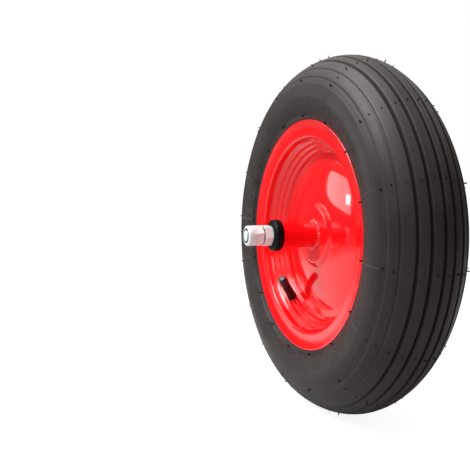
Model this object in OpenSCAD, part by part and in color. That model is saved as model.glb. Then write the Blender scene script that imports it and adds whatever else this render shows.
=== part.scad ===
// Pneumatic barrow wheel: ribbed tyre and tube on a two-half pressed rim, welded to a hub tube that runs on
// two loose-ball bearings over a nutted axle. The origin is the wheel's centre and the axle lies along Y.
// Lengths along the axle are called h and are positive towards the valve side, which faces -Y.

/* [Tyre] */
// Outer diameter of the tyre
tyre_d = 360; // [354:1:372]
// Section width of the tyre
tyre_w = 81; // [79:1:86]
// Place of the widest line, as a share of the way from the bead seat to the tread
waist_share = 0.5146; // [0.48:0.005:0.55]
// Squareness of the tread's crown: 2 is an ellipse, more is squarer
crown_power = 1.85; // [1.8:0.05:2.2]
// Rubber thickness under the tread's crown
crown_t = 8.5; // [7:0.1:10]
// Rubber thickness at the widest line
sidewall_t = 3.8; // [3:0.1:5]
// Distance of the innermost grooves from the middle plane
groove_1 = 4.1; // [3.5:0.1:5]
// Distance of the second grooves from the middle plane
groove_2 = 13.6; // [12:0.1:14.5]
// Distance of the outermost wide grooves from the middle plane
groove_3 = 22.2; // [20:0.1:23]
// Width of a tread groove at its mouth
groove_w = 2.8; // [1.5:0.1:3.4]
// Depth of a tread groove
groove_depth = 3.2; // [2:0.1:4]
// Distance of the fine shoulder groove from the middle plane
fine_groove = 31; // [29:0.1:32]
// Width of the fine shoulder groove
fine_groove_w = 1.3; // [0.8:0.1:2]
// Distance of the shoulder's edge line from the middle plane
shoulder_line = 36; // [35:0.1:37]
// Height of the step at the shoulder's edge line
shoulder_step = 0.9; // [0.4:0.1:1.2]
// Width of a bead across its base
bead_w = 10; // [8:0.1:11]
// Height of the bead's straight inner face above the seat
bead_rise = 10; // [8:0.5:12]
// Wall of the inner tube
tube_wall = 1.5; // [1:0.1:2.5]

/* [Rim] */
// Diameter of the bead seat
seat_d = 202.6; // [202:0.2:204]
// Width between the flanges where the beads bear
rim_w = 54; // [52:0.5:58]
// Height of the rolled lip above the bead seat
lip_rise = 16.4; // [15:0.1:18]
// Radius of the lip's roll, at the middle of the sheet
lip_roll = 1.6; // [1.5:0.1:2.4]
// How far the lip's roll turns past the flange
lip_turn = 185; // [150:1:200]
// Thickness of the pressed sheet
sheet_t = 2; // [1.6:0.1:2.3]
// Width of a bead seat along the axle
seat_w = 8.5; // [7.5:0.1:9.5]
// Taper of a bead seat
seat_taper = 5; // [3:0.5:7]
// Depth of the sloping wall, from the bead seat to the land where the two halves are welded
well_depth = 14.3; // [13:0.1:16]
// Width of that land
land_w = 8; // [7:0.1:10]
// Diameter of the raised boss around the hub
boss_d = 58; // [54:1:70]
// Height of the boss's outer face above the middle plane
boss_h = 13; // [11.5:0.1:15]
// Drop of the step at the boss's edge
boss_step = 3; // [2:0.1:4]
// Height of the pressed ridges in the sloping wall
ridge_h = 0.5; // [0.2:0.1:1]
// Number of pressed ridges
ridges = 3; // [1:1:5]

/* [Hub] */
// Outer diameter of the hub tube
hub_od = 27; // [25:0.5:28]
// Wall of the hub tube
hub_wall = 2; // [1.5:0.1:2.5]
// Length of the hub tube
hub_len = 105; // [96:1:112]
// Leg of the weld fillet between the disc and the hub tube
weld_leg = 3.4; // [2:0.1:4.5]
// Leg of the weld fillet's other side, up the tube
weld_rise = 2.8; // [1.5:0.1:4]

/* [Bearings] */
// Diameter of a bearing ball
ball_d = 4.76; // [4.5:0.01:4.9]
// Number of balls in each bearing
balls_n = 9; // [7:1:9]
// Diameter of the circle through the balls' centres
ball_circle = 21.2; // [21:0.1:21.4]
// Distance of the balls' centres past the end of the hub tube
ball_out = 4.8; // [4.6:0.1:5]
// Outer diameter of a bearing cup outside the hub tube
cup_od = 30.4; // [29:0.1:31]
// Length of a bearing cup's spigot inside the hub tube
spigot_len = 7.5; // [5:0.5:10]
// Thickness of the dust cap's sheet
cap_t = 0.8; // [0.6:0.1:1]
// Length of the dust cap past the end of the hub tube
cap_len = 8.5; // [8.2:0.1:9.5]
// Radius inside the dust cap's corner
cap_round = 1; // [0.6:0.1:2]
// Diameter of a bearing cone beside its ball groove
cone_od = 17.8; // [17.4:0.1:18]
// Length of a bearing cone
cone_len = 12; // [11:0.5:14]

/* [Axle] */
// Diameter of the axle
axle_d = 12; // [11.6:0.1:12.4]
// How far the axle stands out of a lock nut
axle_proud = 2; // [1.5:0.1:8]
// Chamfer at the axle's ends
axle_chamfer = 0.5; // [0.3:0.1:1]
// Width of a nut across its flats
nut_af = 19; // [18:0.5:21]
// Thickness of an inner nut
nut_t = 10; // [8:0.1:10.4]
// Thickness of a lock nut with its collar
lock_nut_t = 15; // [14:0.1:15.4]
// Thickness of a lock nut's hexagon
lock_hex_t = 10.6; // [9:0.1:11]
// Diameter of a lock nut's collar
collar_d = 18.4; // [17:0.1:18.8]
// Diameter of the nylon insert
insert_d = 15.6; // [14.8:0.1:16]
// Thickness of the nylon insert
insert_t = 3; // [2:0.1:3.4]
// Diameter of the collar's turned-in mouth
mouth_d = 14.4; // [13.6:0.1:15]

/* [Valve] */
// Direction of the valve around the wheel, from +X towards +Z
valve_angle = -127; // [-180:1:180]
// Diameter of the rubber stem at its root
stem_root_d = 10.2; // [9.8:0.1:10.8]
// Diameter of the rubber stem at its end
stem_end_d = 9; // [8.6:0.1:9.6]
// Diameter of the stem's collar outside the rim
stem_collar_d = 12; // [11.4:0.1:14]
// Length of the rubber stem from the rim's wall
stem_len = 24.5; // [20:0.5:30]
// Gap between the stem's end and the cap
stem_clear = 0.5; // [0.3:0.1:1.5]
// Diameter of the threaded metal sleeve
sleeve_d = 7.7; // [7.2:0.1:7.8]
// Length of the sleeve inside the stem
sleeve_set = 8; // [6:0.5:10]
// Diameter of the cap over its grip ribs
valve_cap_d = 9.8; // [9.2:0.1:10.6]
// Length of the cap
valve_cap_len = 13; // [11:0.5:14]

/* [Fits] */
// Gap between rubber and the rim or tube
rubber_gap = 0.25; // [0.15:0.05:0.5]
// Gap of pressed parts
press_gap = 0.02; // [0.01:0.01:0.05]
// Gap around the hub tube in the pressed discs, which the weld fills
weld_gap = 0.2; // [0.05:0.05:0.4]
// Gap of a thread's core
thread_gap = 0.05; // [0.02:0.01:0.1]
// Gap of a ball in its grooves
ball_gap = 0.05; // [0.03:0.01:0.08]
// Gap between turning and standing parts
running_gap = 0.35; // [0.3:0.05:0.6]
// How far a cone stands out past the dust cap's running gap, so that the nut clears the cap
cone_proud = 0.15; // [0.1:0.05:0.3]
// Gap between the pressed ridges and a collar that sits across them
ridge_clear = 0.35; // [0.2:0.05:0.6]

/* [Hidden] */
$fn = 96;

rubber_black = [0.16, 0.16, 0.17];
tube_black = [0.10, 0.10, 0.11];
rim_red = [0.90, 0.12, 0.14];
steel_bright = [0.80, 0.79, 0.80];
cap_black = [0.06, 0.07, 0.06];
nylon_white = [0.86, 0.85, 0.80];
race_steel = [0.55, 0.56, 0.58];
cage_yellow = [0.72, 0.60, 0.30];
brass = [0.78, 0.63, 0.30];

tyre_r = tyre_d / 2;
half_w = tyre_w / 2;
cavity_r = tyre_r - crown_t;
cavity_w = half_w - sidewall_t;
seat_r = seat_d / 2;
waist_r = seat_r + (tyre_r - seat_r) * waist_share;
flange_h = rim_w / 2;
lip_r = seat_r + lip_rise;
hub_r = hub_od / 2;
hub_half = hub_len / 2;
land_r = seat_r - well_depth;
mid_t = sheet_t / 2;
boss_r = boss_d / 2;
ball_r = ball_d / 2;
pitch_r = ball_circle / 2;
ball_h = hub_half + ball_out;
race_r = ball_r + ball_gap;
cone_r = cone_od / 2;
cap_h = hub_half + cap_len;
cone_end_h = cap_h + running_gap + cone_proud;
nut_h = cone_end_h;
axle_r = axle_d / 2;
thread_r = axle_r + thread_gap;

// Middle line of the rim's sheet
boss_fall = 4.5;
boss_fillet = 4;
dome_fillet = 5;
dome_bulge = 0.9;
land_edge = 1.5;
ridge_from = 0.05;
ridge_span = 0.82;
wall_rest = 1.9;
seat_fillet = 1.4;
flange_fillet = 2.2;
valve_place = 0.45;
lip_mid_r = lip_r - mid_t - lip_roll;
flange_mid_h = flange_h + mid_t;
lip_centre = [lip_mid_r, flange_mid_h + lip_roll];
seat_out = [seat_r - mid_t + seat_w * tan(seat_taper), flange_mid_h];
seat_in = [seat_r - mid_t, flange_mid_h - seat_w];
wall_foot = [land_r, mid_t];
wall_run = seat_in - wall_foot;
wall_len = norm(wall_run);
wall_dir = wall_run / wall_len;
wall_out = [-wall_dir[1], wall_dir[0]];
valve_tilt = atan2(wall_out[1], -wall_out[0]);
valve_seat = wall_foot + wall_run * valve_place;

// Points of an arc, from its centre, radius and two angles
function arc(c, r, a0, a1, n) = [for (i = [0 : n]) let (a = a0 + (a1 - a0) * i / n) c + r * [cos(a), sin(a)]];

// A path with each inner corner [r, h, radius] rounded by that radius
function corner(a, b, c) =
    let (u = [a[0] - b[0], a[1] - b[1]], v = [c[0] - b[0], c[1] - b[1]], un = u / norm(u), vn = v / norm(v),
        half = acos(un * vn) / 2, reach = b[2] / tan(half), bis = (un + vn) / norm(un + vn),
        o = [b[0], b[1]] + bis * b[2] / sin(half), p0 = [b[0], b[1]] + un * reach, p1 = [b[0], b[1]] + vn * reach,
        a0 = atan2(p0[1] - o[1], p0[0] - o[0]), turn = atan2(p1[1] - o[1], p1[0] - o[0]) - a0,
        sweep = turn > 180 ? turn - 360 : turn < -180 ? turn + 360 : turn)
    b[2] == 0 ? [[b[0], b[1]]] : arc(o, b[2], a0, a0 + sweep, 6);
function rounded(p) = [for (i = [0 : len(p) - 1])
    each i == 0 || i == len(p) - 1 ? [[p[i][0], p[i][1]]] : corner(p[i - 1], p[i], p[i + 1])];

// The outline of a sheet of thickness t about a middle line
function side(p, i) = let (d = p[i + 1] - p[i]) [-d[1], d[0]] / norm(d);
function mitre(p, i) = i == 0 ? side(p, 0) : i == len(p) - 1 ? side(p, i - 1) :
    let (a = side(p, i - 1), b = side(p, i)) (a + b) / (1 + a * b);
function sheet(p, t) = concat([for (i = [0 : len(p) - 1]) p[i] + mitre(p, i) * t / 2],
    [for (i = [len(p) - 1 : -1 : 0]) p[i] - mitre(p, i) * t / 2]);

// Tread surface: radius at a distance h from the middle plane, on a section of half width w and crown radius r
function crown(h, w, r) = waist_r + (r - waist_r) * pow(max(0, 1 - pow(abs(h) / w, crown_power)), 1 / crown_power);

// Side of the section below its widest line, from h = w at the waist to [r1, h1]
function flank(w, r1, h1, n) = [for (i = [1 : n]) let (s = i / n)
    [waist_r - (waist_r - r1) * s, w - (w - h1) * s * s]];

// One groove of the tread, between its two edges
function groove(h, w, d) = [[crown(h - w / 2, half_w, tyre_r), h - w / 2], [crown(h, half_w, tyre_r) - d, h - w / 4],
    [crown(h, half_w, tyre_r) - d, h + w / 4], [crown(h + w / 2, half_w, tyre_r), h + w / 2]];
function rib(h0, h1, n) = [for (i = [1 : n]) let (h = h0 + (h1 - h0) * i / (n + 1)) [crown(h, half_w, tyre_r), h]];
function shoulder(h0, n) = [for (i = [0 : n]) let (a = asin(pow(h0 / half_w, crown_power / 2)),
    b = a + (90 - a) * i / n, h = half_w * pow(sin(b), 2 / crown_power))
    [crown(h, half_w, tyre_r) - shoulder_step * pow(cos(90 * i / n), 2), h]];

// Bead of the tyre: it lies round the rolled lip, against the flange and on the seat
lip_skin = lip_roll + mid_t + rubber_gap;
lip_leave = 30;
flank_top = lip_centre + lip_skin * [cos(lip_leave), sin(lip_leave)];
bead_heel_r = 3;
bead_slope = 1.5;
bead_face_h = flange_h - rubber_gap;
bead_toe = [seat_in[0] + mid_t + rubber_gap + 0.4, bead_face_h - bead_w];
bead_top = bead_toe + [bead_rise, bead_slope];

// Half section of the tyre, from the crown's middle round the bead to the cavity
tyre_half = concat(
    [[tyre_r, 0]], rib(0, groove_1 - groove_w / 2, 1), groove(groove_1, groove_w, groove_depth),
    rib(groove_1 + groove_w / 2, groove_2 - groove_w / 2, 3), groove(groove_2, groove_w, groove_depth),
    rib(groove_2 + groove_w / 2, groove_3 - groove_w / 2, 3), groove(groove_3, groove_w, groove_depth),
    rib(groove_3 + groove_w / 2, fine_groove - fine_groove_w / 2, 3),
    groove(fine_groove, fine_groove_w, shoulder_step),
    rib(fine_groove + fine_groove_w / 2, shoulder_line, 3),
    [[crown(shoulder_line, half_w, tyre_r), shoulder_line]], shoulder(shoulder_line, 9),
    flank(half_w, flank_top[0] + 1.6, flank_top[1] + 0.5, 8),
    arc(lip_centre, lip_skin, lip_leave, -90, 8),
    rounded([[lip_mid_r, bead_face_h], [seat_out[0] + mid_t + rubber_gap, bead_face_h, bead_heel_r], bead_toe]),
    rounded([[bead_toe[0] + 0.2, bead_toe[1]], concat(bead_top, [0]), bead_top + [2, 1.5]]));
cavity_half = concat([for (i = [0 : 14]) let (b = 90 * i / 14, h = cavity_w * pow(sin(b), 2 / crown_power))
    [crown(h, cavity_w, cavity_r), h]], flank(cavity_w, bead_top[0] + 3, bead_top[1] + 2, 7));

function mirrored(p) = [for (i = [len(p) - 1 : -1 : 0]) [p[i][0], -p[i][1]]];
function backwards(p) = [for (i = [len(p) - 1 : -1 : 0]) p[i]];

// Half section of the inner tube's surface, drawn in by g from the tyre's cavity and the rim's well
function tube_half(g) = concat(
    [for (i = [0 : 14]) let (b = 90 * i / 14, h = (cavity_w - g) * pow(sin(b), 2 / crown_power))
        [crown(h, cavity_w - g, cavity_r - g), h]],
    flank(cavity_w - g, bead_top[0] + 3, bead_top[1] + 2 - g, 7),
    [[bead_top[0] + 0.5, bead_top[1] - 0.2 - g], [bead_toe[0], bead_toe[1] - 0.4 - g],
        [seat_in[0] - 1, bead_toe[1] - 1.2 - g],
        [land_r + 1.6 + g * 1.2, 1.2], [land_r + 1.2 + g * 1.2, 0]]);

// Middle line of a rim half from the hub to the rolled lip
dome_foot = [land_r - land_w, mid_t];
dome_top = [boss_r + boss_fall, boss_h - mid_t - boss_step];
dome_run = dome_foot - dome_top;
function ridge(s) = ridge_h * (1 - cos(360 * ridges * s)) / 2;
rim_line = concat(
    rounded([[hub_r + weld_gap, boss_h - mid_t], [boss_r, boss_h - mid_t, boss_fillet],
        concat(dome_top, [dome_fillet]), dome_top + dome_run * 0.25 + [0, dome_bulge]]),
    [for (i = [4 : 11]) let (s = i / 12) dome_top + [dome_run[0] * s, dome_run[1] * s * s]],
    [dome_foot + [land_edge, 0]], [wall_foot - [land_edge, 0]],
    [for (i = [1 : ridges * 8]) let (s = i / (ridges * 8))
        wall_foot + wall_run * (ridge_from + ridge_span * s) + wall_out * ridge(s)],
    rounded([seat_in - wall_dir * wall_rest, concat(seat_in, [seat_fillet]), concat(seat_out, [flange_fillet]),
        lip_centre - [0, lip_roll]]),
    [for (i = [1 : 8]) lip_centre + lip_roll * [sin(lip_turn * i / 8), -cos(lip_turn * i / 8)]]);

// Turns a section of [r, h] points about the axle, with h towards -Y
module turned(points) {
    rotate([90, 0, 0]) rotate_extrude($fn = 128) polygon(points);
}

// Puts a piece drawn for the valve side on the left or the right end of the axle
module at_end(left) {
    if (left) children();
    else mirror([0, 1, 0]) children();
}

// Stands a piece on the valve's axis: its own Z runs from the middle of the rim's sheet out of the wheel
module on_valve() {
    rotate([0, -valve_angle, 0]) translate([valve_seat[0], -valve_seat[1], 0])
        rotate([0, 0, valve_tilt]) rotate([0, -90, 0]) children();
}

module tyre() {
    color(rubber_black) turned(concat(tyre_half, backwards(cavity_half), mirrored(backwards(cavity_half)),
        mirrored(tyre_half)));
}

module inner_tube() {
    outer = tube_half(rubber_gap);
    inner = tube_half(rubber_gap + tube_wall);
    color(tube_black) difference() {
        turned(concat(outer, mirrored(outer)));
        turned(concat(inner, mirrored(inner)));
    }
}

module rim_half(valve_hole) {
    difference() {
        turned(sheet(rim_line, sheet_t));
        if (valve_hole) on_valve() cylinder(d = stem_root_d + 2 * rubber_gap, h = stem_len, center = true);
    }
}

module rim_half_valve_side() {
    color(rim_red) rim_half(true);
}

module rim_half_plain_side() {
    color(rim_red) mirror([0, 1, 0]) rim_half(false);
}

module hub_tube() {
    color(rim_red) rotate([90, 0, 0]) difference() {
        cylinder(r = hub_r, h = hub_len, center = true);
        cylinder(r = hub_r - hub_wall, h = hub_len + 2, center = true);
    }
}

module hub_welds() {
    color(rim_red) for (left = [true, false]) at_end(left)
        turned([[hub_r, boss_h], [hub_r + weld_leg, boss_h], [hub_r + weld_leg * 0.72, boss_h + weld_rise * 0.52],
            [hub_r + weld_leg * 0.34, boss_h + weld_rise * 0.86], [hub_r, boss_h + weld_rise]]);
}

bore_in = hub_r - hub_wall - press_gap;
cup_r = cup_od / 2;
cup_corner_turn = 64;
cup_face_h = cap_h - cap_t - press_gap;
cup_lip_r = pitch_r + 1.7;
cup_lip_angle = acos((cup_lip_r - pitch_r) / race_r);
cup_throat_r = cone_r + 0.6;
cup_shoulder_h = ball_h - race_r - 1.4;

module bearing_cup() {
    color(race_steel) turned(concat(
        [[cup_throat_r, hub_half - spigot_len], [bore_in, hub_half - spigot_len], [bore_in, hub_half + press_gap],
            [cup_r - press_gap, hub_half + press_gap]],
        arc([cup_r - press_gap - cap_round, cup_face_h - cap_round], cap_round, 0, cup_corner_turn, 5),
        [[cup_lip_r, cup_face_h - 0.6]],
        arc([pitch_r, ball_h], race_r, cup_lip_angle, -cup_lip_angle, 10),
        [[cup_lip_r, cup_shoulder_h], [cup_throat_r, cup_shoulder_h]]));
}

module bearing_cup_left() {
    bearing_cup();
}

module bearing_cup_right() {
    at_end(false) bearing_cup();
}

module dust_cap() {
    skirt_h = hub_half + 0.3;
    round_centre = [cup_r - cap_round, cap_h - cap_t - cap_round];
    hole_r = cone_r + running_gap;
    color(cap_black) turned(concat([[cup_r, skirt_h], [cup_r + cap_t, skirt_h]],
        arc(round_centre, cap_round + cap_t, 0, 90, 7), [[hole_r, cap_h], [hole_r, cap_h - cap_t]],
        arc(round_centre, cap_round, 90, 0, 7)));
}

module dust_cap_left() {
    dust_cap();
}

module dust_cap_right() {
    at_end(false) dust_cap();
}

cage_in = ball_h - race_r - 0.9;
cage_out = ball_h + race_r * 0.65;
cage_half_t = 0.95;

// Crown cage: a ring with one round pocket for each ball, open towards the end of the axle
module ball_cage() {
    color(cage_yellow) difference() {
        turned([[pitch_r - cage_half_t, cage_in], [pitch_r + cage_half_t, cage_in],
            [pitch_r + cage_half_t, cage_out], [pitch_r - cage_half_t, cage_out]]);
        for (i = [0 : balls_n - 1]) rotate([0, i * 360 / balls_n, 0]) translate([pitch_r - 4, -ball_h, 0])
            rotate([0, 90, 0]) cylinder(r = race_r, h = 8, $fn = 48);
    }
}

module ball_cage_left() {
    ball_cage();
}

module ball_cage_right() {
    at_end(false) ball_cage();
}

module bearing_balls() {
    color(steel_bright) for (i = [0 : balls_n - 1])
        rotate([0, i * 360 / balls_n, 0]) translate([pitch_r, -ball_h, 0]) sphere(r = ball_r, $fn = 32);
}

module bearing_balls_left() {
    bearing_balls();
}

module bearing_balls_right() {
    at_end(false) bearing_balls();
}

module bearing_cone() {
    reach = acos((pitch_r - cone_r) / race_r);
    inner_h = cone_end_h - cone_len;
    color(race_steel) turned(concat(
        [[thread_r, inner_h], [axle_r + 1.4, inner_h], [cone_r, inner_h + 3]],
        arc([pitch_r, ball_h], race_r, 180 + reach, 180 - reach, 10),
        [[cone_r, cone_end_h], [thread_r, cone_end_h]]));
}

module bearing_cone_left() {
    bearing_cone();
}

module bearing_cone_right() {
    at_end(false) bearing_cone();
}

module axle() {
    end_h = collar_end + axle_proud;
    color(steel_bright) turned([[0, -end_h], [axle_r - axle_chamfer, -end_h], [axle_r, -end_h + axle_chamfer],
        [axle_r, end_h - axle_chamfer], [axle_r - axle_chamfer, end_h], [0, end_h]]);
}

nut_corner_r = nut_af / 2 / cos(30);
nut_face_r = nut_af / 2 * 0.95;
nut_fall = (nut_corner_r - nut_face_r) * tan(30);
lock_h = nut_h + nut_t;
insert_h = lock_h + lock_hex_t + 0.3;
insert_end = insert_h + insert_t;
insert_r = insert_d / 2;
collar_r = collar_d / 2;
mouth_r = mouth_d / 2;
collar_end = lock_h + lock_nut_t;
collar_round = 2.6;
lock_turn_left = 17;
lock_turn_right = 41;

// Hexagon from h0, t thick, with its corners turned down at both faces
module hexagon(h0, t) {
    intersection() {
        rotate([90, 0, 0]) translate([0, 0, h0]) rotate(30) cylinder(r = nut_corner_r, h = t, $fn = 6);
        turned([[0, h0], [nut_face_r, h0], [nut_corner_r, h0 + nut_fall], [nut_corner_r, h0 + t - nut_fall],
            [nut_face_r, h0 + t], [0, h0 + t]]);
    }
}

// Threaded hole from h0 to h1, countersunk at h0 and, where both is set, at h1
module thread_hole(h0, h1, both) {
    sink = 1.8;
    lead = 0.8;
    turned(concat([[0, h0 - 1], [thread_r + sink, h0 - 1], [thread_r, h0 + lead]],
        both ? [[thread_r, h1 - lead], [thread_r + sink, h1 + 1]] : [[thread_r, h1 + 1]], [[0, h1 + 1]]));
}

module inner_nut() {
    color(steel_bright) difference() {
        hexagon(nut_h, nut_t);
        thread_hole(nut_h, nut_h + nut_t, true);
    }
}

module inner_nut_left() {
    inner_nut();
}

module inner_nut_right() {
    at_end(false) inner_nut();
}

// Lock nut: a hexagon with a round collar that is rolled in over a nylon ring
module lock_nut() {
    color(steel_bright) difference() {
        union() {
            hexagon(lock_h, lock_hex_t);
            turned(concat([[0, lock_h + 2], [collar_r, lock_h + 2]],
                arc([collar_r - collar_round, collar_end - collar_round], collar_round, 0, 90, 8),
                [[0, collar_end]]));
        }
        thread_hole(lock_h, lock_h + lock_hex_t, false);
        turned([[0, insert_h], [insert_r + press_gap, insert_h], [insert_r + press_gap, insert_end + press_gap],
            [mouth_r, insert_end + press_gap], [mouth_r, collar_end + 1], [0, collar_end + 1]]);
    }
}

module lock_nut_left() {
    rotate([0, lock_turn_left, 0]) lock_nut();
}

module lock_nut_right() {
    at_end(false) rotate([0, lock_turn_right, 0]) lock_nut();
}

module nut_insert() {
    foot_h = insert_h + press_gap;
    color(nylon_white)
        turned([[thread_r, foot_h], [insert_r, foot_h], [insert_r, insert_end], [thread_r, insert_end]]);
}

module nut_insert_left() {
    nut_insert();
}

module nut_insert_right() {
    at_end(false) nut_insert();
}

// Heights along the valve, from the middle of the rim's sheet
wall_face = mid_t + ridge_h + ridge_clear;
sleeve_foot = stem_len - sleeve_set;
cap_foot = stem_len + stem_clear;
valve_len = cap_foot + valve_cap_len;
sleeve_top = valve_len - 2.5;
core_foot = stem_len + 1;
core_end = sleeve_top - 0.3;
stem_root_r = stem_root_d / 2;
stem_end_r = stem_end_d / 2;
stem_collar_r = stem_collar_d / 2;
stem_neck_h = stem_len - 6;
sleeve_r = sleeve_d / 2;
air_hole_r = 1.6;
core_bore_r = 2.2;

module valve_stem() {
    color(tube_black) on_valve() difference() {
        rotate_extrude($fn = 64) polygon([[0, -mid_t - 0.1], [stem_root_r, -mid_t - 0.1],
            [stem_root_r, wall_face], [stem_collar_r, wall_face], [stem_collar_r, wall_face + 1.2],
            [stem_root_r, wall_face + 3.4], [stem_end_r, stem_neck_h],
            [stem_end_r, stem_len - 0.6], [stem_end_r - 0.6, stem_len], [0, stem_len]]);
        translate([0, 0, sleeve_foot]) cylinder(r = sleeve_r + press_gap, h = stem_len, $fn = 48);
        translate([0, 0, -stem_len / 2]) cylinder(r = air_hole_r, h = stem_len * 2, $fn = 32);
    }
}

module valve_sleeve() {
    color(brass) on_valve() difference() {
        translate([0, 0, sleeve_foot + press_gap]) cylinder(r = sleeve_r, h = sleeve_top - sleeve_foot, $fn = 48);
        translate([0, 0, core_foot]) cylinder(r = core_bore_r, h = valve_len, $fn = 32);
        translate([0, 0, sleeve_foot - 1]) cylinder(r = air_hole_r, h = valve_len, $fn = 32);
    }
}

module valve_core() {
    body_r = core_bore_r - thread_gap;
    pin_r = 0.7;
    foot = core_foot + thread_gap;
    color(brass) on_valve() rotate_extrude($fn = 32) polygon([[0, foot], [body_r, foot], [body_r, core_end - 2.1],
        [body_r - 0.65, core_end - 1.5], [pin_r, core_end - 1.5], [pin_r, core_end],
        [0, core_end]]);
}

module valve_cap() {
    rib_r = 0.45;
    ribs = 12;
    body_r = valve_cap_d / 2 - rib_r;
    bore_r = sleeve_r + thread_gap + 0.05;
    color(tube_black) on_valve() difference() {
        union() {
            rotate_extrude($fn = 64) polygon([[0, cap_foot], [body_r, cap_foot], [body_r, valve_len - 1.2],
                [body_r - 1.2, valve_len], [0, valve_len]]);
            for (i = [0 : ribs - 1]) rotate(i * 360 / ribs) translate([body_r, 0, cap_foot])
                cylinder(r = rib_r, h = valve_cap_len - 2.6, $fn = 16);
        }
        translate([0, 0, cap_foot - 1]) cylinder(r = bore_r, h = valve_cap_len - 0.9, $fn = 48);
    }
}

tyre();
inner_tube();
rim_half_valve_side();
rim_half_plain_side();
hub_tube();
hub_welds();
bearing_cup_left();
bearing_cup_right();
dust_cap_left();
dust_cap_right();
ball_cage_left();
ball_cage_right();
bearing_balls_left();
bearing_balls_right();
bearing_cone_left();
bearing_cone_right();
axle();
inner_nut_left();
inner_nut_right();
lock_nut_left();
lock_nut_right();
nut_insert_left();
nut_insert_right();
valve_stem();
valve_sleeve();
valve_core();
valve_cap();
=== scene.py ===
import math
import random

import bmesh
import bpy
from mathutils import Matrix, Vector


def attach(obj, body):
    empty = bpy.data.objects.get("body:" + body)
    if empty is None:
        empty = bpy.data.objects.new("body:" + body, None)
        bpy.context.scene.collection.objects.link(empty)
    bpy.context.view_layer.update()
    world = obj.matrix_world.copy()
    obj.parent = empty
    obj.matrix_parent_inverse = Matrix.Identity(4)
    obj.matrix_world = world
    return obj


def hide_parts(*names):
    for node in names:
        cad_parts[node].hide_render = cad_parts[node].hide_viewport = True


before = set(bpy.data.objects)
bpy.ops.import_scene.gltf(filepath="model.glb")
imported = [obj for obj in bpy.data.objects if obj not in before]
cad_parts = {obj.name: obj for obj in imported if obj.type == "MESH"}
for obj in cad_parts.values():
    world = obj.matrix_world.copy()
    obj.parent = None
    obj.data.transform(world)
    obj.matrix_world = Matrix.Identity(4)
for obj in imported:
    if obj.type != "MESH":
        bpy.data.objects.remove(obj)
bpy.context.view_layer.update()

# Tyre
# One rubber moulding, black with a soft sheen. Six wide grooves and two fine ones run round the tread, and
# the section is the mould's: a round crown, a step at each shoulder, bulged sidewalls and a bead round the
# rim's lip.
MM = 0.001
tyre_r, half_w, waist_r, crown_power = 180.0, 40.5, 141.8, 1.85
groove_w, groove_depth, fine_w, shoulder_h, shoulder_step = 2.8, 3.2, 1.3, 36.0, 0.9
grooves = [(4.1, groove_w, groove_depth), (13.6, groove_w, groove_depth), (22.2, groove_w, groove_depth),
           (31.0, fine_w, 0.9)]


def bare_object(name, bm):
    """Turns a bmesh into a smooth-shaded object, with no material or body yet."""
    bmesh.ops.recalc_face_normals(bm, faces=bm.faces)
    mesh = bpy.data.meshes.new(name)
    bm.to_mesh(mesh)
    bm.free()
    mesh.shade_smooth()
    thing = bpy.data.objects.new(name, mesh)
    bpy.context.scene.collection.objects.link(thing)
    return thing


def finish_mesh(name, bm, material, body, nodes=(), sharp=38):
    """Turns a bmesh into a finished piece that rides on a body and stands for CAD nodes."""
    piece = bare_object(name, bm)
    piece.data.set_sharp_from_angle(angle=math.radians(sharp))
    piece.data.materials.append(material)
    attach(piece, body)
    if nodes:
        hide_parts(*nodes)
    return piece


def turn_outline(points, axis, steps, closed=True):
    """Full turn of an outline, in metres, about an axis through the origin."""
    bm = bmesh.new()
    verts = [bm.verts.new(p) for p in points]
    pairs = list(zip(verts, verts[1:])) + ([(verts[-1], verts[0])] if closed else [])
    edges = [bm.edges.new(pair) for pair in pairs]
    bmesh.ops.spin(bm, geom=verts + edges, cent=(0, 0, 0), axis=axis, angle=math.tau, steps=steps,
                   use_merge=True)
    bmesh.ops.remove_doubles(bm, verts=bm.verts, dist=1e-6)
    return bm


def spin_section(points, steps, closed=True):
    """Full turn about the axle of a section of [r, h] points in mm; h runs towards the valve side, -Y."""
    return turn_outline([(r * MM, -h * MM, 0) for r, h in points], (0, 1, 0), steps, closed)


def arc(centre, radius, start, end, steps):
    turn = [math.radians(start + (end - start) * i / steps) for i in range(steps + 1)]
    return [(centre[0] + radius * math.cos(a), centre[1] + radius * math.sin(a)) for a in turn]


def crown(h, w=half_w, top=tyre_r):
    return waist_r + (top - waist_r) * max(0.0, 1 - (abs(h) / w) ** crown_power) ** (1 / crown_power)


def ease(t):
    t = min(1.0, max(0.0, t))
    return t * t * (3 - 2 * t)


def tread_drop(h):
    """Depth below the crown at a distance h from the middle plane: the grooves, with soft edges."""
    drop = 0.0
    for place, width, depth in grooves:
        away = abs(h - place)
        drop += depth * ease((width / 2 + 0.12 - away) / (width / 4 + 0.16))
    return drop


def tread_heights():
    marks = {0.0, 1.4}
    for place, width, depth in grooves:
        for part in (0.0, 0.42, 0.56, 0.66, 0.76, 0.86, 0.96, 1.06, 1.2):
            marks |= {round(place - part * width / 2, 3), round(place + part * width / 2, 3)}
    ribs = [(place - width / 2, place + width / 2) for place, width, depth in grooves]
    for (a, b), (c, d) in zip(ribs, ribs[1:] + [(shoulder_h - 0.4, 0)]):
        marks |= {round(b + (c - b) * s, 3) for s in (0.2, 0.4, 0.6, 0.8)}
    return sorted(m for m in marks if m < shoulder_h - 0.3)


lip_centre, lip_skin = (116.7, 29.7), 1.25
flank_end = (lip_centre[0] + lip_skin * math.cos(math.radians(30)) + 1.6,
             lip_centre[1] + lip_skin * math.sin(math.radians(30)) + 0.5)
ring_lines = [(122.6, 0.35, 0.7), (126.2, 0.25, 0.5), (151.0, 0.3, 0.6)]


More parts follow.
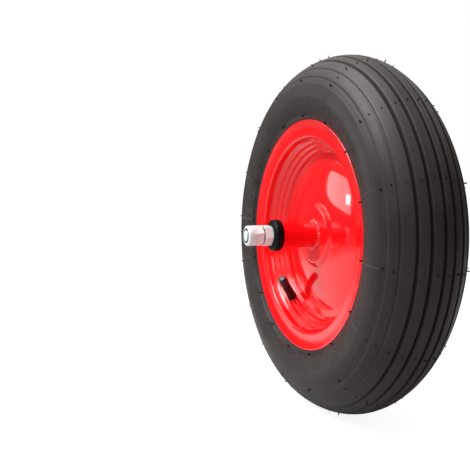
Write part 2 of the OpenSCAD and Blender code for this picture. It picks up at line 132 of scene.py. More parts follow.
def section_normal(points, i):
    """Outward direction, as r and h, at one point of a section."""
    a, b = points[max(0, i - 1)], points[min(len(points) - 1, i + 1)]
    along = Vector((b[0] - a[0], b[1] - a[1])).normalized()
    return along.y, -along.x


def sidewall(steps=46):
    """Points from past the shoulder's step, over the widest line, to the rim's lip, with raised rings."""
    first = math.asin((shoulder_h / half_w) ** (crown_power / 2))
    points = []
    for i in range(steps // 2 + 1):
        b = first + (math.pi / 2 - first) * i / (steps // 2)
        h = half_w * math.sin(b) ** (2 / crown_power)
        points.append((crown(h) - shoulder_step * math.cos(math.pi / 2 * 2 * i / steps) ** 2, h))
    for i in range(1, steps + 1):
        s = i / steps
        points.append((waist_r - (waist_r - flank_end[0]) * s, half_w - (half_w - flank_end[1]) * s * s))
    raised = []
    for i, (r, h) in enumerate(points):
        out_r, out_h = section_normal(points, i)
        lift = sum(height * ease(1 - abs(r - place) / width) for place, height, width in ring_lines)
        raised.append((r + out_r * lift, h + out_h * lift))
    return raised


tread = [(crown(h) - tread_drop(h), h) for h in tread_heights()]
shoulder = [(crown(shoulder_h - 0.25), shoulder_h - 0.25), (crown(shoulder_h) - 0.12, shoulder_h - 0.02),
            (crown(shoulder_h) - 0.6, shoulder_h + 0.02)]
bead = arc(lip_centre, lip_skin, 30, -66, 6) + [(113.7, 27.0), (111.0, 26.0), (108.0, 25.4)]
bead += arc((105.15, 22.0), 3.0, 90, 180, 5)
bead += [(101.95, 16.75), (102.15, 16.75), (111.95, 18.25), (113.95, 19.75)]
cavity_top, cavity_half_w, cavity_fall, cavity_foot_h = 171.5, 36.7, 26.85, 20.25
cavity = [(waist_r - cavity_fall * s, cavity_half_w - (cavity_half_w - cavity_foot_h) * s ** 2)
          for s in (i / 7 for i in range(7, 0, -1))]
cavity += [(crown(h, cavity_half_w, cavity_top), h)
           for h in (cavity_half_w * math.sin(math.pi / 2 * i / 9) ** 1.08 for i in range(9, 0, -1))]
half_section = tread + shoulder + sidewall() + bead + cavity
other_half = [(r, -h) for r, h in reversed(half_section)]
tyre_section = half_section + [(cavity_top, 0.0)] + other_half[:-1]


def shader_of(material):
    """Node tree and main shader of a material."""
    return material.node_tree, material.node_tree.nodes["Principled BSDF"]


def new_material(name):
    material = bpy.data.materials.new(name)
    material.use_nodes = True
    return material


def put(tree, kind, inputs=(), **settings):
    """Adds a node, sets its own settings and its sockets; a socket's value may be another node's output."""
    node = tree.nodes.new(kind)
    for key, value in settings.items():
        setattr(node, key, value)
    for key, value in dict(inputs).items():
        if isinstance(value, bpy.types.NodeSocket):
            tree.links.new(value, node.inputs[key])
        else:
            node.inputs[key].default_value = value
    return node


def noise(tree, where, scale, detail=3.0, roughness=0.55):
    return put(tree, "ShaderNodeTexNoise", {"Vector": where, "Scale": scale, "Detail": detail,
                                            "Roughness": roughness}).outputs["Fac"]


def ramp(tree, factor, stops):
    node = put(tree, "ShaderNodeValToRGB", {"Fac": factor})
    line = node.color_ramp
    while len(line.elements) < len(stops):
        line.elements.new(0.5)
    for element, (place, colour) in zip(line.elements, stops):
        element.position = place
        element.color = (*colour, 1.0)
    return node.outputs["Color"]


def calc(tree, operation, first, second=0.0):
    return put(tree, "ShaderNodeMath", {0: first, 1: second}, operation=operation).outputs["Value"]


def between(tree, value, start, end, low=0.0, high=1.0, kind="LINEAR"):
    """Goes from low to high while a value goes from start to end."""
    sockets = {"Value": value, "From Min": start, "From Max": end, "To Min": low, "To Max": high}
    return put(tree, "ShaderNodeMapRange", sockets, interpolation_type=kind).outputs["Result"]


def spread(tree, factor, low, high):
    return between(tree, factor, 0.0, 1.0, low, high)


def blend(tree, factor, first, second):
    """Mixes two colours, of which each may be another node's output."""
    return put(tree, "ShaderNodeMix", {0: factor, 6: first, 7: second}, data_type="RGBA").outputs[2]


def bump(tree, height, distance, strength=1.0, below=None):
    sockets = {"Height": height, "Distance": distance, "Strength": strength}
    if below is not None:
        sockets["Normal"] = below
    return put(tree, "ShaderNodeBump", sockets).outputs["Normal"]


def place_of(tree):
    return put(tree, "ShaderNodeTexCoord").outputs["Object"]


def rubber_material(name, dark, light, rough_low, rough_high, specular=0.3):
    material = new_material(name)
    tree, shader = shader_of(material)
    where = place_of(tree)
    cloud = noise(tree, where, 38.0, 4.0)
    grain = noise(tree, where, 1500.0, 2.0)
    coarse = noise(tree, where, 260.0, 3.0)
    tree.links.new(ramp(tree, cloud, [(0.3, dark), (0.7, light)]), shader.inputs["Base Color"])
    roughness = spread(tree, noise(tree, where, 90.0, 3.0), rough_low, rough_high)
    tree.links.new(roughness, shader.inputs["Roughness"])
    skin = bump(tree, grain, 0.00012, 0.4, bump(tree, coarse, 0.0003, 0.25))
    tree.links.new(skin, shader.inputs["Normal"])
    shader.inputs["Specular IOR Level"].default_value = specular
    return material


def distance_from_axle(tree, where):
    flat = put(tree, "ShaderNodeVectorMath", {0: where, 1: (1.0, 0.0, 1.0)}, operation="MULTIPLY")
    return put(tree, "ShaderNodeVectorMath", {0: flat.outputs["Vector"]}, operation="LENGTH").outputs["Value"]


tyre_rubber = rubber_material("tyre_rubber", (0.018, 0.0125, 0.0115), (0.028, 0.020, 0.0185), 0.40, 0.52)
tree, shader = shader_of(tyre_rubber)
where = place_of(tree)
radius = distance_from_axle(tree, where)
band_start, band_full, band_fade, band_end = 0.1215, 0.124, 0.133, 0.142
band = calc(tree, "MULTIPLY", between(tree, radius, band_start, band_full),
            between(tree, radius, band_fade, band_end, 1.0, 0.0))
pebbles = put(tree, "ShaderNodeTexVoronoi", {"Vector": where, "Scale": 620.0}).outputs["Distance"]
skin = shader.inputs["Normal"].links[0].from_socket
pebbled = bump(tree, calc(tree, "MULTIPLY", pebbles, band), 0.0016, 0.9, skin)
tree.links.new(pebbled, shader.inputs["Normal"])
# The pebbles' tops in the band near the rim are coloured a lighter grey.
pale_pebble_tops = calc(tree, "MULTIPLY", between(tree, pebbles, 0.12, 0.32, 1.0, 0.0), band)
black = shader.inputs["Base Color"].links[0].from_socket
tree.links.new(blend(tree, pale_pebble_tops, black, (0.085, 0.078, 0.074, 1.0)), shader.inputs["Base Color"])
finish_mesh("tyre_moulding", spin_section(tyre_section, 252), tyre_rubber, "wheel", ["tyre"],
            sharp=60)

# Vent whiskers of the tyre
# Rubber squeezed into the mould's vent holes: a row of short whiskers across the tyre every 22.5 degrees,
# some torn off short, and fine raised lines on the sidewalls where a score in the mould joined the vents.
chance = random.Random(7)
vent_rows = [15 + 22.5 * k for k in range(16)]
rib_middles = [0.0, 8.85, 17.9, 26.6, 33.5]
whisker_top, tread_whisker_r, wall_whisker_r = 181.3, 0.62, 0.85


def outside(r, h, angle):
    """Point on the wheel in metres, at an angle from +X towards +Z."""
    a = math.radians(angle)
    return Vector((r * MM * math.cos(a), -h * MM, r * MM * math.sin(a)))


def whisker(bm, r, h, angle, out_r, out_h, length, radius):
    foot = outside(r, h, angle)
    a = math.radians(angle)
    way = Vector((out_r * math.cos(a), -out_h, out_r * math.sin(a))).normalized()
    turn = way.to_track_quat("Z", "Y").to_matrix().to_4x4()
    middle = foot + way * (length * 0.5 - 0.1) * MM
    bmesh.ops.create_cone(bm, cap_ends=True, segments=8, radius1=radius * MM, radius2=radius * 0.72 * MM,
                          depth=length * MM, matrix=Matrix.Translation(middle) @ turn)


wall_vents = [(crown(37.6) - 0.7, 37.4, 0.75, 0.6, 2.0), (121.0, 32.9, -0.5, 0.9, 2.3)]
bm = bmesh.new()
for angle in vent_rows:
    for side in (1, -1):
        for middle in rib_middles:
            if middle == 0.0 and side == -1:
                continue
            slope = (crown(middle + 0.2) - crown(middle - 0.2)) / 0.4 if middle else 0.0
            room = whisker_top - crown(middle)
            whisker(bm, crown(middle), side * middle, angle + chance.uniform(-0.25, 0.25), 1.0, -side * slope,
                    min(room, chance.choice((0.8, 1.2, 1.7, 2.2))), tread_whisker_r)
        for r, h, out_r, out_h, length in wall_vents:
            whisker(bm, r, side * h, angle + chance.uniform(-0.4, 0.4), out_r, side * out_h,
                    length * chance.uniform(0.8, 1.2), wall_whisker_r)
whisker_rubber = rubber_material("whisker_rubber", (0.004, 0.004, 0.004), (0.008, 0.008, 0.008), 0.5, 0.7,
                                 0.1)
finish_mesh("tyre_vent_whiskers", bm, whisker_rubber, "wheel")


def loft(bm, rings, joined=False):
    """Skins equal rings of points in order, and either joins the last to the first or closes both ends."""
    rows = [[bm.verts.new(p) for p in ring] for ring in rings]
    count = len(rows[0])
    for a, b in list(zip(rows, rows[1:])) + ([(rows[-1], rows[0])] if joined else []):
        for i in range(count):
            bm.faces.new((a[i], a[(i + 1) % count], b[(i + 1) % count], b[i]))
    if not joined:
        bm.faces.new(rows[0])
        bm.faces.new(rows[-1])


wall_line = sidewall()
bm = bmesh.new()
for angle in vent_rows:
    for side in (1, -1):
        begin, stop = chance.choice(((6, 60), (12, 52), (8, 64), (18, 58)))
        rings = []
        for i in range(begin, stop, 2):
            r, h = wall_line[i]
            out_r, out_h = section_normal(wall_line, i)
            ring = []
            for across, lift in ((-0.5, -0.3), (-0.3, 0.12), (0.0, 0.26), (0.3, 0.12), (0.5, -0.3)):
                turn = math.degrees(across / r)
                ring.append(outside(r + out_r * lift, side * (h + out_h * lift), angle + turn))
            rings.append(ring)
        loft(bm, rings)
flash_rubber = rubber_material("flash_rubber", (0.035, 0.033, 0.033), (0.085, 0.082, 0.080), 0.35, 0.5)
finish_mesh("tyre_vent_lines", bm, flash_rubber, "wheel")

# Inner tube
# Butyl tube with a 1.5 mm wall, hidden between the tyre and the rim's well. Its CAD shape stays and is dusted
# with talc, as tubes are.
tube_rubber = rubber_material("tube_rubber", (0.022, 0.022, 0.023), (0.075, 0.074, 0.072), 0.6, 0.8)


def dress(nodes, material):
    """Puts a material on CAD nodes that keep their shape."""
    for node in nodes:
        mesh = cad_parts[node].data
        mesh.materials.clear()
        mesh.materials.append(material)


dress(["inner_tube"], tube_rubber)

# Rim halves
# Two pressings of 2 mm sheet, red powder coat baked on. Each has a rolled lip, a tapered bead seat, three
# ridges in the sloping wall, a flat weld land, a domed disc and a raised boss; the valve side has the
# valve's hole.
sheet_t, land_r, land_in_r, boss_r, boss_h = 2.0, 87.0, 79.0, 29.0, 13.0
seat_in, seat_out = Vector((100.3, 19.5)), Vector((100.9, 26.2))
wall_foot = Vector((land_r, sheet_t / 2))
wall_run = seat_in - wall_foot
wall_dir = wall_run.normalized()
wall_out = Vector((-wall_dir.y, wall_dir.x))


def fillet(a, b, c, radius, steps=9):
    """Points of a rounded corner at b, on the way from a to c."""
    u, v = (Vector(a) - Vector(b)).normalized(), (Vector(c) - Vector(b)).normalized()
    half = math.acos(max(-1.0, min(1.0, u.dot(v)))) / 2
    centre = Vector(b) + (u + v).normalized() * radius / math.sin(half)
    start, end = Vector(b) + u * radius / math.tan(half), Vector(b) + v * radius / math.tan(half)
    first = math.atan2(start.y - centre.y, start.x - centre.x)
    turn = (math.atan2(end.y - centre.y, end.x - centre.x) - first + math.pi) % math.tau - math.pi
    return [centre + radius * Vector((math.cos(first + turn * i / steps), math.sin(first + turn * i / steps)))
            for i in range(steps + 1)]


def rim_middle_line():
    hub_edge, boss_edge = Vector((13.7, boss_h - 1)), Vector((boss_r, boss_h - 1))
    dome_top, dome_foot = Vector((boss_r + 4.5, boss_h - 4)), Vector((land_in_r, 1.0))
    run = dome_foot - dome_top
    line = [hub_edge + (boss_edge - hub_edge) * s for s in (0, 0.15, 0.3, 0.45, 0.6)]
    line += fillet(hub_edge, boss_edge, dome_top, 4.0)
    line += fillet(boss_edge, dome_top, dome_top + Vector((run.x * 0.3, run.y * 0.1)), 5.0)
    line += [dome_top + Vector((run.x * s, run.y * s * s)) for s in (i / 24 for i in range(6, 23))]
    line += fillet(line[-1], dome_foot, wall_foot, 4.0, 6)
    line += fillet(dome_foot, wall_foot, wall_foot + wall_run * 0.05, 1.2, 5)
    line += [wall_foot + wall_run * (0.05 + 0.82 * s) + wall_out * 0.5 * (1 - math.cos(math.tau * 3 * s)) / 2
             for s in (i / 42 for i in range(3, 43))]
    line += fillet(seat_in - wall_dir * 1.9, seat_in, seat_out, 1.4, 6)
    foot, lip = Vector((seat_out.x, seat_out.y)), Vector(lip_centre)
    line += fillet(seat_in, foot, foot + Vector((6.0, 0.2)), 2.2, 7)
    line += [Vector((foot.x + (lip.x - foot.x) * s, foot.y + (lip.y - foot.y) * s * s))
             for s in (i / 12 for i in range(4, 13))]
    return line


def sheet_outline(line, thickness):
    """Closed outline of a sheet about its middle line, with round edges."""
    sides = []
    for i, p in enumerate(line):
        a, b = line[max(0, i - 1)], line[min(len(line) - 1, i + 1)]
        d = (b - a).normalized()
        sides.append(Vector((-d.y, d.x)) * thickness / 2)
    out = [p + s for p, s in zip(line, sides)]
    back = [p - s for p, s in zip(line, sides)]
    tail = (line[-1] - line[-2]).normalized()
    end = [line[-1] + sides[-1] * math.cos(a) + tail * math.sin(a)
           for a in (0.5, 1.05, math.pi / 2, 2.1, 2.6)]
    return [(p.x, p.y) for p in out + end + back[::-1]]


def carve(target, cutter, operation="DIFFERENCE"):
    """Cuts one piece with another and drops the cutter."""
    step = target.modifiers.new("carve", "BOOLEAN")
    step.object, step.operation, step.solver = cutter, operation, "EXACT"
    bpy.context.view_layer.update()
    shaped = bpy.data.meshes.new_from_object(target.evaluated_get(bpy.context.evaluated_depsgraph_get()))
    target.modifiers.clear()
    target.data = shaped
    shaped.set_sharp_from_angle(angle=math.radians(38))
    bpy.data.objects.remove(cutter)


valve_seat, valve_turn, valve_hole_r = wall_foot + wall_run * 0.45, math.radians(127), 5.35
valve_frame = (Matrix.Rotation(valve_turn, 4, "Y")
               @ Matrix.Translation((valve_seat.x * MM, -valve_seat.y * MM, 0))
               @ Matrix.Rotation(math.atan2(wall_out.y, -wall_out.x), 4, "Z")
               @ Matrix.Rotation(-math.pi / 2, 4, "Y"))

rim_red = new_material("rim_red")
tree, shader = shader_of(rim_red)
where = place_of(tree)
tone = ramp(tree, noise(tree, where, 22.0, 2.0),
            [(0.35, (0.92, 0.003, 0.006)), (0.65, (0.97, 0.006, 0.010))])
dust = ramp(tree, noise(tree, where, 650.0, 4.0, 0.7),
            [(0.68, (0.0, 0.0, 0.0)), (0.82, (0.25, 0.25, 0.25))])
tree.links.new(blend(tree, dust, tone, (0.55, 0.02, 0.02, 1.0)), shader.inputs["Base Color"])
tree.links.new(spread(tree, noise(tree, where, 140.0, 3.0), 0.10, 0.18), shader.inputs["Roughness"])
waves = bump(tree, noise(tree, where, 60.0, 2.0), 0.0012, 0.05)
peel = bump(tree, noise(tree, where, 420.0, 2.0), 0.00030, 0.05, waves)
tree.links.new(peel, shader.inputs["Normal"])
tree.links.new(peel, shader.inputs["Coat Normal"])
shader.inputs["Coat Weight"].default_value = 1.0
shader.inputs["Coat Roughness"].default_value = 0.03
shader.inputs["Coat IOR"].default_value = 1.4
shader.inputs["Specular IOR Level"].default_value = 0.1

rim_section = sheet_outline(rim_middle_line(), sheet_t)
rim_near = finish_mesh("rim_pressing_valve_side", spin_section(rim_section, 224), rim_red, "wheel",
                       ["rim_half_valve_side"])
bm = bmesh.new()
bmesh.ops.create_cone(bm, cap_ends=True, segments=48, radius1=valve_hole_r * MM, radius2=valve_hole_r * MM,
                      depth=20 * MM, matrix=valve_frame)
carve(rim_near, bare_object("valve_hole_cutter", bm))
far_section = [(r, -h) for r, h in reversed(rim_section)]
finish_mesh("rim_pressing_plain_side", spin_section(far_section, 224), rim_red, "wheel",
            ["rim_half_plain_side"])

# Hub tube
# Steel tube through both discs, painted with the rim. Its ends are cut square and take the bearing cups.
tube_bore, tube_r, tube_half = 11.5, 13.5, 52.5
hub_outline = [(tube_bore, -tube_half), (tube_r - 0.3, -tube_half), (tube_r, 0.3 - tube_half),
               (tube_r, tube_half - 0.3), (tube_r - 0.3, tube_half), (tube_bore, tube_half)]
finish_mesh("hub_sleeve", spin_section(hub_outline, 96), rim_red, "wheel", ["hub_tube"])

# Weld beads
# One run of weld joins each disc to the hub tube, on the outside, under the paint. The bead swells and sinks
# as the torch moved round.
bead_steps, ripples = 288, 18
bm = bmesh.new()
for side in (1, -1):
    rings = []
    wander = [chance.uniform(-0.16, 0.16) for k in range(36)]
    for i in range(bead_steps):
        angle = 360 * i / bead_steps
        pulse = 0.17 * abs(math.sin(math.radians(angle * ripples))) - 0.08
        k = angle / 10
        drift = wander[int(k) % 36] * (1 - k % 1) + wander[(int(k) + 1) % 36] * (k % 1)
        grow = 1 + pulse + drift * 0.5
        shape = [(tube_r - 0.2, boss_h - 0.3), (tube_r + 3.1 * grow, boss_h - 0.2),
                 (tube_r + 2.9 * grow, boss_h + 0.65), (tube_r + 2.3 * grow, boss_h + 1.3 * grow),
                 (tube_r + 1.35 * grow, boss_h + 2.0 * grow), (tube_r + 0.5 * grow, boss_h + 2.45 * grow),
                 (tube_r - 0.2, boss_h + 2.6 * grow)]
        rings.append([outside(r, side * h, angle) for r, h in shape])
    loft(bm, rings, joined=True)
finish_mesh("hub_weld_beads", bm, rim_red, "wheel", ["hub_welds"], sharp=70)

# Bearings
# Cups pressed into the tube, cones on the axle, nine balls each in a crown cage. The CAD shapes are right, so
# they stay and get hardened steel, brass-coloured cage strip and polished balls.


def metal_material(name, dark, light, rough_low, rough_high, grain_scale, depth=0.00001, metallic=1.0):
    material = new_material(name)
    tree, shader = shader_of(material)
    where = place_of(tree)
    stretched = put(tree, "ShaderNodeMapping", {"Vector": where, "Scale": (1.0, 5.0, 1.0)}).outputs["Vector"]
    tone = ramp(tree, noise(tree, where, 160.0, 4.0), [(0.3, dark), (0.7, light)])
    tree.links.new(tone, shader.inputs["Base Color"])
    roughness = spread(tree, noise(tree, stretched, grain_scale, 3.0), rough_low, rough_high)
    tree.links.new(roughness, shader.inputs["Roughness"])
    grain = bump(tree, noise(tree, stretched, grain_scale * 2, 2.0), depth, 0.25)
    tree.links.new(grain, shader.inputs["Normal"])
    shader.inputs["Metallic"].default_value = metallic
    return material


race_steel = metal_material("race_steel", (0.34, 0.34, 0.35), (0.50, 0.50, 0.51), 0.2, 0.35, 500.0)
cage_strip = metal_material("cage_strip", (0.52, 0.40, 0.18), (0.64, 0.52, 0.26), 0.3, 0.45, 500.0)
ball_polish = metal_material("ball_polish", (0.70, 0.70, 0.71), (0.78, 0.78, 0.79), 0.06, 0.12, 900.0)
for stem, finish in (("bearing_cup_", race_steel), ("bearing_cone_", race_steel), ("ball_cage_", cage_strip),
                     ("bearing_balls_", ball_polish)):
    dress([stem + "left", stem + "right"], finish)

# Dust caps
# Thin drawn cap over each bearing, dipped in black with a faint green cast. It turns with the hub and leaves
# a narrow ring open round the cone.


def mottled_material(name, dark, light, tone_scale, rough_scale, rough_low, rough_high, grain_scale, depth):
    """Plain finish with a mottled tone, as dipped or moulded plastics have."""
    material = new_material(name)
    tree, shader = shader_of(material)
    where = place_of(tree)
    tone = ramp(tree, noise(tree, where, tone_scale, 3.0), [dark, light])
    tree.links.new(tone, shader.inputs["Base Color"])
    roughness = spread(tree, noise(tree, where, *rough_scale), rough_low, rough_high)
    tree.links.new(roughness, shader.inputs["Roughness"])
    grain = bump(tree, noise(tree, where, *grain_scale), 0.0001, depth)
    tree.links.new(grain, shader.inputs["Normal"])
    return material


cap_gloss = mottled_material("cap_gloss", (0.35, (0.002, 0.003, 0.0025)), (0.7, (0.003, 0.006, 0.0045)),
                             120.0, (300.0, 3.0), 0.42, 0.55, (500.0, 3.0), 0.1)
tree, shader = shader_of(cap_gloss)
shader.inputs["Specular IOR Level"].default_value = 0.06
shader.inputs["Coat Weight"].default_value = 0.1
shader.inputs["Coat Roughness"].default_value = 0.04
cap_r, cap_front = 16.0, 61.0
cap_outline = [(15.22, 52.9), (15.4, 52.82), (15.75, 52.82), (cap_r, 53.05), (cap_r, 57.0)]
cap_outline += arc((cap_r - 2.6, cap_front - 2.6), 2.6, 0, 90, 12)
cap_outline += [(9.6, cap_front), (9.35, 60.9), (9.25, 60.6), (9.35, 60.22)]
cap_outline += arc((14.2, 59.2), 1.0, 90, 0, 8)
for end, side in (("left", 1), ("right", -1)):
    outline = [(r, side * h) for r, h in cap_outline][::side]
    finish_mesh("dust_cap_shell_" + end, spin_section(outline, 96), cap_gloss, "wheel",
                ["dust_cap_" + end])

# Axle
# M12 rod, zinc plated. Both ends carry a rolled 1.75 mm thread that runs out at a small chamfer, and the
# middle is plain. Shade is painted dark round the rod in the nuts' mouths, and in the seam where two nuts meet.
pitch, thread_depth, rod_r, rod_half, thread_start, chamfer_r = 1.75, 0.85, 5.97, 88.5, 69.5, 5.35
nut_seam, seam_half_width = 71.5, 0.55
zinc = metal_material("zinc", (0.79, 0.91, 0.92), (0.88, 0.97, 0.97), 0.16, 0.28, 350.0, metallic=0.1)
tree, shader = shader_of(zinc)
where = place_of(tree)
off_axis = distance_from_axle(tree, where)
# Painted shade: a dark ring round the rod, in the mouths of the nuts.
mouth_painted_shade = calc(tree, "MULTIPLY", between(tree, off_axis, 0.0052, 0.0055),
                    between(tree, off_axis, 0.0074, 0.0078, 1.0, 0.0))
along = calc(tree, "ABSOLUTE", put(tree, "ShaderNodeSeparateXYZ", {"Vector": where}).outputs["Y"])
# Painted shade: a dark band where the inner nut and the lock nut meet.
seam = put(tree, "ShaderNodeMath", {0: along, 1: nut_seam * MM, 2: seam_half_width * MM}, operation="COMPARE")
painted_shade = calc(tree, "MAXIMUM", mouth_painted_shade, seam.outputs["Value"])
plating = shader.inputs["Base Color"].links[0].from_socket
tree.links.new(blend(tree, painted_shade, plating, (0.030, 0.027, 0.027, 1.0)), shader.inputs["Base Color"])
tree.links.new(spread(tree, painted_shade, 0.1, 0.0), shader.inputs["Metallic"])


def thread_radius(angle, h):
    phase = (h / pitch - angle / 360) % 1.0
    ridge = abs(phase - 0.5) * 2
    cut = thread_depth * min(1.0, max(0.0, (ridge - 0.12) / 0.72))
    return rod_r - cut


bm = bmesh.new()
rings = []
around = 60
levels = [-rod_half, -rod_half + 0.02] + [-rod_half + 0.02 + 0.125 * i for i in range(1, 137)]
levels += [0.0] + [-h for h in reversed(levels)]
for h in levels:
    ring = []
    for k in range(around):
        angle = 360 * k / around
        plain = abs(h) < thread_start
        r = rod_r if plain else thread_radius(angle, h)
        r = min(r, chamfer_r + (rod_half - abs(h)))
        ring.append(outside(r, h, angle))
    rings.append(ring)
loft(bm, rings)
finish_mesh("axle_rod", bm, zinc, "axle_set", ["axle"], sharp=50)

# Nuts
# Zinc plated hex nuts. The inner one holds the bearing's cone, and a lock nut with a round collar, rolled in
# over a nylon ring, holds it; the ring's dark colour is painted shade in the mouth. Corners are turned down at
# the faces.
flat_r = 9.5
corner_r = flat_r / math.cos(math.radians(30))
face_r = flat_r * 0.95
fall = (corner_r - face_r) * math.tan(math.radians(30))
bore_r, mouth_r, ring_r, lip_r, mouth_depth = 6.05, 7.85, 7.82, 7.5, 0.8
ring_start, ring_end = 10.9, 13.92
stand = Matrix(((1, 0, 0), (0, 0, -1), (0, 1, 0)))


def hex_nut(name, node, side, start, thick, turned, extra=None):
    bm = bmesh.new()
    bmesh.ops.create_cone(bm, cap_ends=True, segments=6, radius1=corner_r * MM, radius2=corner_r * MM,
                          depth=thick * MM)
    uprights = [e for e in bm.edges if abs(e.verts[0].co.z - e.verts[1].co.z) > thick * MM * 0.9]
    first = next(iter(bm.verts)).co
    lean = math.atan2(first.y, first.x)
    bmesh.ops.rotate(bm, verts=bm.verts, cent=(0, 0, 0),
                     matrix=Matrix.Rotation(math.radians(turned) - lean, 3, "Z"))
    bmesh.ops.bevel(bm, geom=uprights, offset=0.22 * MM, offset_type="OFFSET", affect="EDGES", segments=3,
                    profile=0.5, material=-1)
    bmesh.ops.rotate(bm, verts=bm.verts, cent=(0, 0, 0), matrix=stand)
    bmesh.ops.translate(bm, verts=bm.verts, vec=(0, -side * (start + thick / 2) * MM, 0))
    piece = finish_mesh(name, bm, zinc, "axle_set", [node], sharp=30)

    def turned_tool(label, outline):
        return bare_object(name + label, spin_section([(r, side * h) for r, h in outline], 96, closed=False))

    end = start + thick
    lens = [(0, start), (face_r - 0.15, start), (face_r, start + 0.05), (corner_r + 0.05, start + fall),
            (corner_r + 0.05, end - fall), (face_r, end - 0.05), (face_r - 0.15, end), (0, end)]
    hole = [(0, start - 1), (mouth_r, start - 1), (bore_r, start + mouth_depth), (bore_r, end - mouth_depth),
            (mouth_r, end + 1), (0, end + 1)]
    carve(piece, turned_tool("_lens", lens), "INTERSECT")
    if extra:
        carve(piece, turned_tool("_collar", extra), "UNION")
        top = extra[-1][1] + 1
        hole = hole[:3] + [(bore_r, start + ring_start), (ring_r, start + ring_start),
                           (ring_r, start + ring_end), (lip_r, start + ring_end + 0.28), (lip_r, top), (0, top)]
    carve(piece, turned_tool("_bore", hole))
    piece.data.set_sharp_from_angle(angle=math.radians(30))


collar = [(0, 73.5), (9.3, 73.5), (9.6, 79.7), (10.2, 80.3), (10.2, 84.6)] + arc((8.2, 86.0), 2.0, 0, 90, 12)
collar += [(0, 88.0)]
for end, side, inner_turn, lock_turn in (("left", 1, 50, 13), ("right", -1, 30, -11)):
    hex_nut("inner_hex_" + end, "inner_nut_" + end, side, nut_seam - 10.0, 10.0, inner_turn)
    hex_nut("lock_hex_" + end, "lock_nut_" + end, side, nut_seam, 10.6, lock_turn, collar)
# The nylon ring's dark colour is painted shade inside the lock nut's mouth.
nylon = mottled_material("nylon", (0.3, (0.030, 0.030, 0.033)), (0.7, (0.055, 0.055, 0.060)), 200.0,
                         (500.0, 2.0), 0.35, 0.5, (700.0, 2.0), 0.3)
dress(["nut_insert_left", "nut_insert_right"], nylon)

# Valve
# Rubber stem through the rim's wall, with a collar on the sheet, and a brass sleeve moulded into its end. The
# core sits in the sleeve, and a ribbed black cap screws over it.
stem_rubber = rubber_material("stem_rubber", (0.006, 0.006, 0.007), (0.012, 0.012, 0.013), 0.32, 0.45)
brass = metal_material("brass", (0.58, 0.40, 0.14), (0.70, 0.52, 0.22), 0.18, 0.3, 600.0)
sleeve_r, sleeve_foot, sleeve_len, sleeve_pitch, sleeve_thread = 3.85, 16.52, 18.98, 0.794, 24.7


def on_valve(bm):
    bmesh.ops.transform(bm, matrix=valve_frame, verts=bm.verts)
    return bm


def valve_point(r, turn, z):
    """Point in metres at a share of a full turn about the valve's own axis."""
    return Vector((r * MM * math.cos(math.tau * turn), r * MM * math.sin(math.tau * turn), z * MM))


stem_outline = [(1.6, -1.1), (5.1, -1.1), (5.1, 1.87), (5.45, 1.87), (5.6, 2.0), (5.65, 2.3), (5.6, 2.9),
                (5.45, 3.3), (5.3, 4.0), (5.15, 4.9), (5.06, 5.6), (4.98, 9.0), (4.9, 13.0), (4.85, 16.5),
                (4.8, 18.5), (4.8, 21.0), (4.8, 23.9), (4.65, 24.4), (4.2, 24.5), (3.87, 24.5), (3.87, 16.5),
                (1.6, 16.5)]
stem = turn_outline([(r * MM, 0, z * MM) for r, z in stem_outline], (0, 0, 1), 64)
finish_mesh("valve_stem_rubber", on_valve(stem), stem_rubber, "wheel", ["valve_stem"])
bm = bmesh.new()
rings = []
for i in range(121):
    z = sleeve_foot + sleeve_len * i / 120
    ring = []
    for k in range(40):
        phase = (z / sleeve_pitch - k / 40) % 1.0
        cut = 0.3 * abs(phase - 0.5) * 2 if z > sleeve_thread else 0.0
        ring.append(valve_point(sleeve_r - cut, k / 40, z))
    rings.append(ring)
loft(bm, rings)
finish_mesh("valve_sleeve_thread", on_valve(bm), brass, "wheel", ["valve_sleeve"])
dress(["valve_core"], brass)

# Valve cap
# Black plastic cap with twelve grip ribs and a domed top, screwed down over the sleeve.
cap_plastic = metal_material("cap_plastic", (0.010, 0.010, 0.011), (0.020, 0.020, 0.022), 0.28, 0.42, 700.0,
                             0.00006, 0.0)
rib_height, rib_foot, rib_top, rib_min_r = 0.33, 25.1, 35.6, 4.2
bm = bmesh.new()
rings = []
profile = [(3.98, 36.9), (3.98, 25.0), (4.3, 25.0), (4.55, 25.25), (4.55, 27.0), (4.55, 30.0), (4.55, 33.5),
           (4.55, 35.2), (4.4, 36.3), (4.0, 37.2), (3.3, 37.8), (2.0, 38.0), (0.4, 38.0)]
for r, z in profile:
    ring = []
    for k in range(144):
        grip = max(0.0, math.cos(math.tau * k / 12)) ** 2 if k % 12 in (0, 1, 2, 10, 11) else 0.0
        fade = ease((rib_top - z) / 0.6) * ease((z - rib_foot) / 0.3)
        ribbed = rib_height * grip * fade if r > rib_min_r else 0.0
        ring.append(valve_point(r + ribbed, k / 144, z))
    rings.append(ring)
loft(bm, rings)
finish_mesh("valve_cap_ribbed", on_valve(bm), cap_plastic, "cap_of_valve", ["valve_cap"])

# Ground
# White paper under the tyre. It looks pure white to the camera and still takes the wheel's shadow.
floor_half, floor_level = 6.0, -0.1801
paper = new_material("paper")
tree, shader = shader_of(paper)
where = place_of(tree)
shader.inputs["Base Color"].default_value = (0.55, 0.55, 0.55, 1.0)
tree.links.new(spread(tree, noise(tree, where, 30.0, 3.0), 0.75, 0.85), shader.inputs["Roughness"])
tree.links.new(bump(tree, noise(tree, where, 900.0, 2.0), 0.0001, 0.2), shader.inputs["Normal"])
seen = put(tree, "ShaderNodeLightPath").outputs
shader.inputs["Emission Color"].default_value = (1.0, 1.0, 1.0, 1.0)
mirrored = calc(tree, "MAXIMUM", seen["Is Glossy Ray"], seen["Is Transmission Ray"])
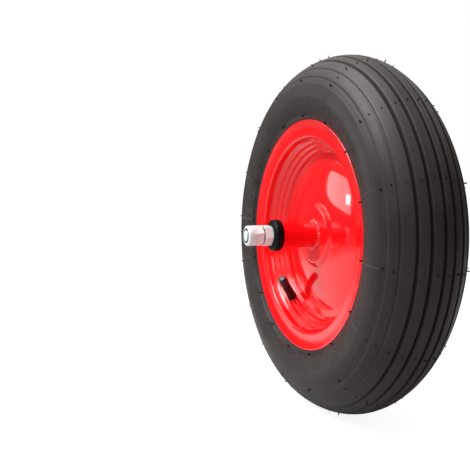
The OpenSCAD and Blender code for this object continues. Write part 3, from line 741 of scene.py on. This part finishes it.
# In mirrors the paper glows as painted light, stronger to the left and fading far off.
across = put(tree, "ShaderNodeSeparateXYZ", {"Vector": where}).outputs["X"]
reach = put(tree, "ShaderNodeVectorMath", {0: where}, operation="LENGTH").outputs["Value"]
lit = between(tree, across, -0.12, 0.16, 1.0, 0.0, "SMOOTHSTEP")
near_part = between(tree, reach, 0.95, 1.35, 1.0, 0.1, "SMOOTHSTEP")
# Painted shadow: the glow seen in mirrors is cut back right under the wheel.
painted_shadow_under_wheel = between(tree, reach, 0.225, 0.26, 0.1, 1.0, "SMOOTHSTEP")
for share in (near_part, painted_shadow_under_wheel, mirrored, 0.6):
    lit = calc(tree, "MULTIPLY", lit, share)
lit = calc(tree, "MAXIMUM", lit, seen["Is Camera Ray"])
tree.links.new(spread(tree, lit, 0.0, 0.86), shader.inputs["Emission Strength"])
bm = bmesh.new()
bmesh.ops.create_grid(bm, x_segments=2, y_segments=2, size=floor_half,
                      matrix=Matrix.Translation((0, 0, floor_level)))
mesh = bpy.data.meshes.new("paper_floor")
bm.to_mesh(mesh)
bm.free()
floor = bpy.data.objects.new("paper_floor", mesh)
bpy.context.scene.collection.objects.link(floor)
mesh.materials.append(paper)

# Lamps
# Soft boxes of a small product studio: one above, one high in front, one low at the far left that the glossy
# dish mirrors, with a small bright spot in it, and a weak one on the right. The room is white, with a painted
# dark band round the horizon that only mirrors see.


def soft_box(name, place, width, height, power):
    """Lamp that shines at the wheel's centre."""
    data = bpy.data.lights.new(name, "AREA")
    data.shape, data.size, data.size_y, data.energy = "RECTANGLE", width, height, power
    lamp = bpy.data.objects.new(name, data)
    turn = Vector(place).to_track_quat("Z", "Y").to_matrix().to_4x4()
    lamp.matrix_world = Matrix.Translation(place) @ turn
    bpy.context.scene.collection.objects.link(lamp)


soft_box("key_above", (-0.04, -0.45, 1.2), 0.9, 0.9, 13.5)
soft_box("front_high", (-0.08, -1.02, 1.08), 0.6, 0.6, 12.0)
soft_box("window_left", (-0.95, -1.05, 0.40), 0.62, 0.44, 3.4)
soft_box("side_fill", (0.85, -1.1, 0.85), 0.5, 0.5, 2.4)
soft_box("window_glint", (-0.795, -1.215, 0.358), 0.12, 0.12, 0.9)

world = bpy.data.worlds.new("white_room")
bpy.context.scene.world = world
world.use_nodes = True
tree = world.node_tree
tree.nodes.clear()
seen = put(tree, "ShaderNodeLightPath").outputs
way = put(tree, "ShaderNodeSeparateXYZ", {"Vector": put(tree, "ShaderNodeTexCoord").outputs["Generated"]})
# Painted reflection: mirrors see the room dark in a band round the horizon, and white above and below.
mirrored = between(tree, calc(tree, "ABSOLUTE", way.outputs["Z"]), 0.35, 0.6, 0.12, 1.0, "SMOOTHSTEP")
plain = spread(tree, seen["Is Camera Ray"], 0.30, 1.0)
shown = calc(tree, "MAXIMUM", seen["Is Glossy Ray"], seen["Is Transmission Ray"])
strength = put(tree, "ShaderNodeMix", {0: shown, 2: plain, 3: mirrored}, data_type="FLOAT")
sky = put(tree, "ShaderNodeBackground", {"Color": (1.0, 1.0, 1.0, 1.0), "Strength": strength.outputs[0]})
put(tree, "ShaderNodeOutputWorld", {"Surface": sky.outputs["Background"]})

# Camera
# Fitted to the outlines of the tyre and of the rim in the photograph.
view_az, view_el, distance, focal_px = math.radians(70.9574), math.radians(2.0871), 0.50738, 477.5031
side_step, rise, sensor_mm, image_px = 0.09432, 0.000269, 36.0, 470
level = math.cos(view_el)
back = Vector((math.sin(view_az) * level, -math.cos(view_az) * level, math.sin(view_el)))
right = Vector((math.cos(view_az), math.sin(view_az), 0.0))
up = back.cross(right)
data = bpy.data.cameras.new("camera")
data.sensor_width, data.lens, data.clip_start = sensor_mm, focal_px / image_px * sensor_mm, 0.01
camera = bpy.data.objects.new("camera", data)
place = back * distance - right * side_step - up * rise
camera.matrix_world = Matrix(((right.x, up.x, back.x, place.x), (right.y, up.y, back.y, place.y),
                              (right.z, up.z, back.z, place.z), (0, 0, 0, 1)))
bpy.context.scene.collection.objects.link(camera)
bpy.context.scene.camera = camera
bpy.context.scene.view_settings.view_transform = "Standard"
